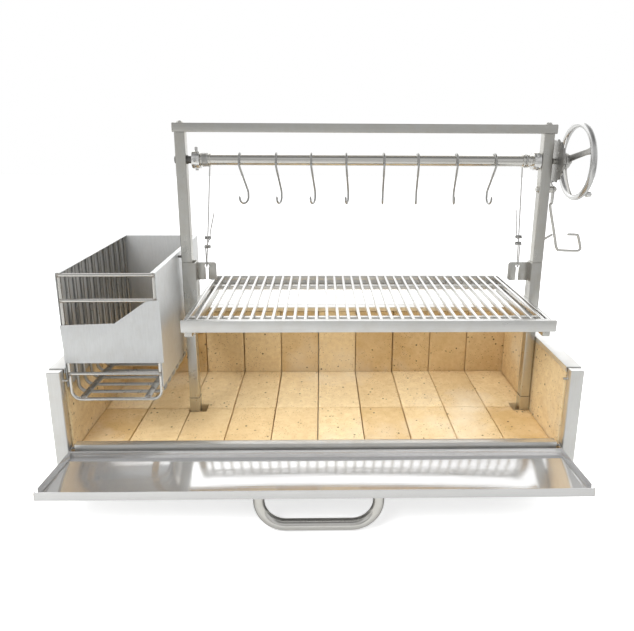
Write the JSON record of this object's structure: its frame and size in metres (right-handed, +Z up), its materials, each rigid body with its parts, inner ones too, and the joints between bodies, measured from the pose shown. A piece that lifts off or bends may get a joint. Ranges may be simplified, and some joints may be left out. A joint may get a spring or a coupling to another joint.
{
  "type": "wood-fired grill with lifting grate",
  "caption": "Firebrick-lined grill insert with a crank-lifted cable grate, hanging-hook bar, firewood basket and drop-down front door.",
  "frame": {"origin": "middle of the underside of the firebox, on the ground", "axes": "+X to the right along the firebox, +Y to the back, +Z up"},
  "size_m": [1.2833, 0.6554, 0.8472],
  "materials": {
    "stainless": "brushed stainless sheet and square tube",
    "polished_steel": "polished stainless",
    "chrome": "bright chrome",
    "dark_steel": "dull dark steel",
    "firebrick": "fired clay, matt and pitted",
    "insulation": "matt fibre board"
  },
  "bodies": {
    "firebox": {"firebox_shell": "stainless", "insulation_board": "insulation", "floor_bricks_front": "firebrick", "floor_bricks_back": "firebrick", "back_wall_bricks": "firebrick", "left_wall_bricks": "firebrick", "right_wall_bricks": "firebrick", "front_column_left": "stainless", "front_column_right": "stainless", "sill_plate": "stainless", "post_socket_left": "stainless", "post_socket_right": "stainless", "post_left": "stainless", "post_right": "stainless", "top_beam": "stainless", "beam_bolt_left": "polished_steel", "beam_bolt_right": "polished_steel", "bearing_bush_left": "dark_steel", "bearing_bush_right": "dark_steel", "pawl_pivot_bolt": "polished_steel", "lever_keeper": "polished_steel", "basket_peg": "dark_steel", "hinge_pin_left": "polished_steel", "hinge_pin_right": "polished_steel"},
    "carriage": {"carriage_channel_left": "stainless", "carriage_channel_right": "stainless", "cable_plate_left": "stainless", "cable_plate_right": "stainless", "grate_frame": "stainless", "grate_bars": "stainless", "cable_clips_left": "dark_steel", "cable_clips_right": "dark_steel", "lift_cable_left": "dark_steel", "lift_cable_right": "dark_steel"},
    "winch": {"winch_shaft": "polished_steel", "shaft_collar_left": "polished_steel", "shaft_collar_right": "polished_steel", "cable_spool_left": "polished_steel", "cable_spool_right": "polished_steel", "ratchet_wheel": "stainless", "handwheel": "chrome"},
    "spinner": {"wheel_spinner": "chrome"},
    "pawl": {"ratchet_pawl": "stainless", "pawl_lever": "polished_steel"},
    "door": {"door_panel": "polished_steel", "door_handle": "polished_steel"},
    "hook_1": {"meat_hook_1": "chrome"},
    "hook_2": {"meat_hook_2": "chrome"},
    "hook_3": {"meat_hook_3": "chrome"},
    "hook_4": {"meat_hook_4": "chrome"},
    "hook_5": {"meat_hook_5": "chrome"},
    "hook_6": {"meat_hook_6": "chrome"},
    "hook_7": {"meat_hook_7": "chrome"},
    "hook_8": {"meat_hook_8": "chrome"},
    "basket": {"basket_rods": "polished_steel", "basket_front_plate": "stainless", "basket_back_plate": "stainless", "basket_side_left": "stainless", "basket_side_right": "stainless"}
  },
  "joints": [
    {"name": "grate_lift", "type": "slide", "parent": "firebox", "child": "carriage", "axis": [0, 0, 1], "range_m": [-0.198, 0.163], "deforming": ["lift_cable_left", "lift_cable_right"]},
    {"name": "winch_turn", "type": "hinge", "parent": "firebox", "child": "winch", "pos_m": [0, -0.004, 0.7512], "axis": [1, 0, 0], "range_deg": [-720, 620]},
    {"name": "spinner_turn", "type": "hinge", "parent": "winch", "child": "spinner", "pos_m": [0.6432, -0.04963, 0.67526], "axis": [1, 0, 0], "continuous": true},
    {"name": "pawl_pivot", "type": "hinge", "parent": "firebox", "child": "pawl", "pos_m": [0.5855, -0.004, 0.682], "axis": [1, 0, 0], "range_deg": [-20, 6]},
    {"name": "door_hinge", "type": "hinge", "parent": "firebox", "child": "door", "pos_m": [0, -0.205, 0.095], "axis": [-1, 0, 0], "range_deg": [0, 86.4]},
    {"name": "hook_1_swing", "type": "hinge", "parent": "firebox", "child": "hook_1", "pos_m": [-0.19, -0.004, 0.7512], "axis": [1, 0, 0], "range_deg": [-20, 20]},
    {"name": "hook_2_swing", "type": "hinge", "parent": "firebox", "child": "hook_2", "pos_m": [-0.1015, -0.004, 0.7512], "axis": [1, 0, 0], "range_deg": [-20, 20]},
    {"name": "hook_3_swing", "type": "hinge", "parent": "firebox", "child": "hook_3", "pos_m": [-0.0163, -0.004, 0.7512], "axis": [1, 0, 0], "range_deg": [-20, 20]},
    {"name": "hook_4_swing", "type": "hinge", "parent": "firebox", "child": "hook_4", "pos_m": [0.069, -0.004, 0.7512], "axis": [1, 0, 0], "range_deg": [-20, 20]},
    {"name": "hook_5_swing", "type": "hinge", "parent": "firebox", "child": "hook_5", "pos_m": [0.161, -0.004, 0.7512], "axis": [1, 0, 0], "range_deg": [-20, 20]},
    {"name": "hook_6_swing", "type": "hinge", "parent": "firebox", "child": "hook_6", "pos_m": [0.2446, -0.004, 0.7512], "axis": [1, 0, 0], "range_deg": [-20, 20]},
    {"name": "hook_7_swing", "type": "hinge", "parent": "firebox", "child": "hook_7", "pos_m": [0.3395, -0.004, 0.7512], "axis": [1, 0, 0], "range_deg": [-20, 20]},
    {"name": "hook_8_swing", "type": "hinge", "parent": "firebox", "child": "hook_8", "pos_m": [0.4337, -0.004, 0.7512], "axis": [1, 0, 0], "range_deg": [-20, 20]},
    {"name": "basket_lift", "type": "slide", "parent": "firebox", "child": "basket", "axis": [0, 0, 1], "range_m": [0, 0.15]}
  ],
  "couplings": [
    {"joint": "winch_turn", "follows": "grate_lift", "rad_per_m": 62.893}
  ]
}
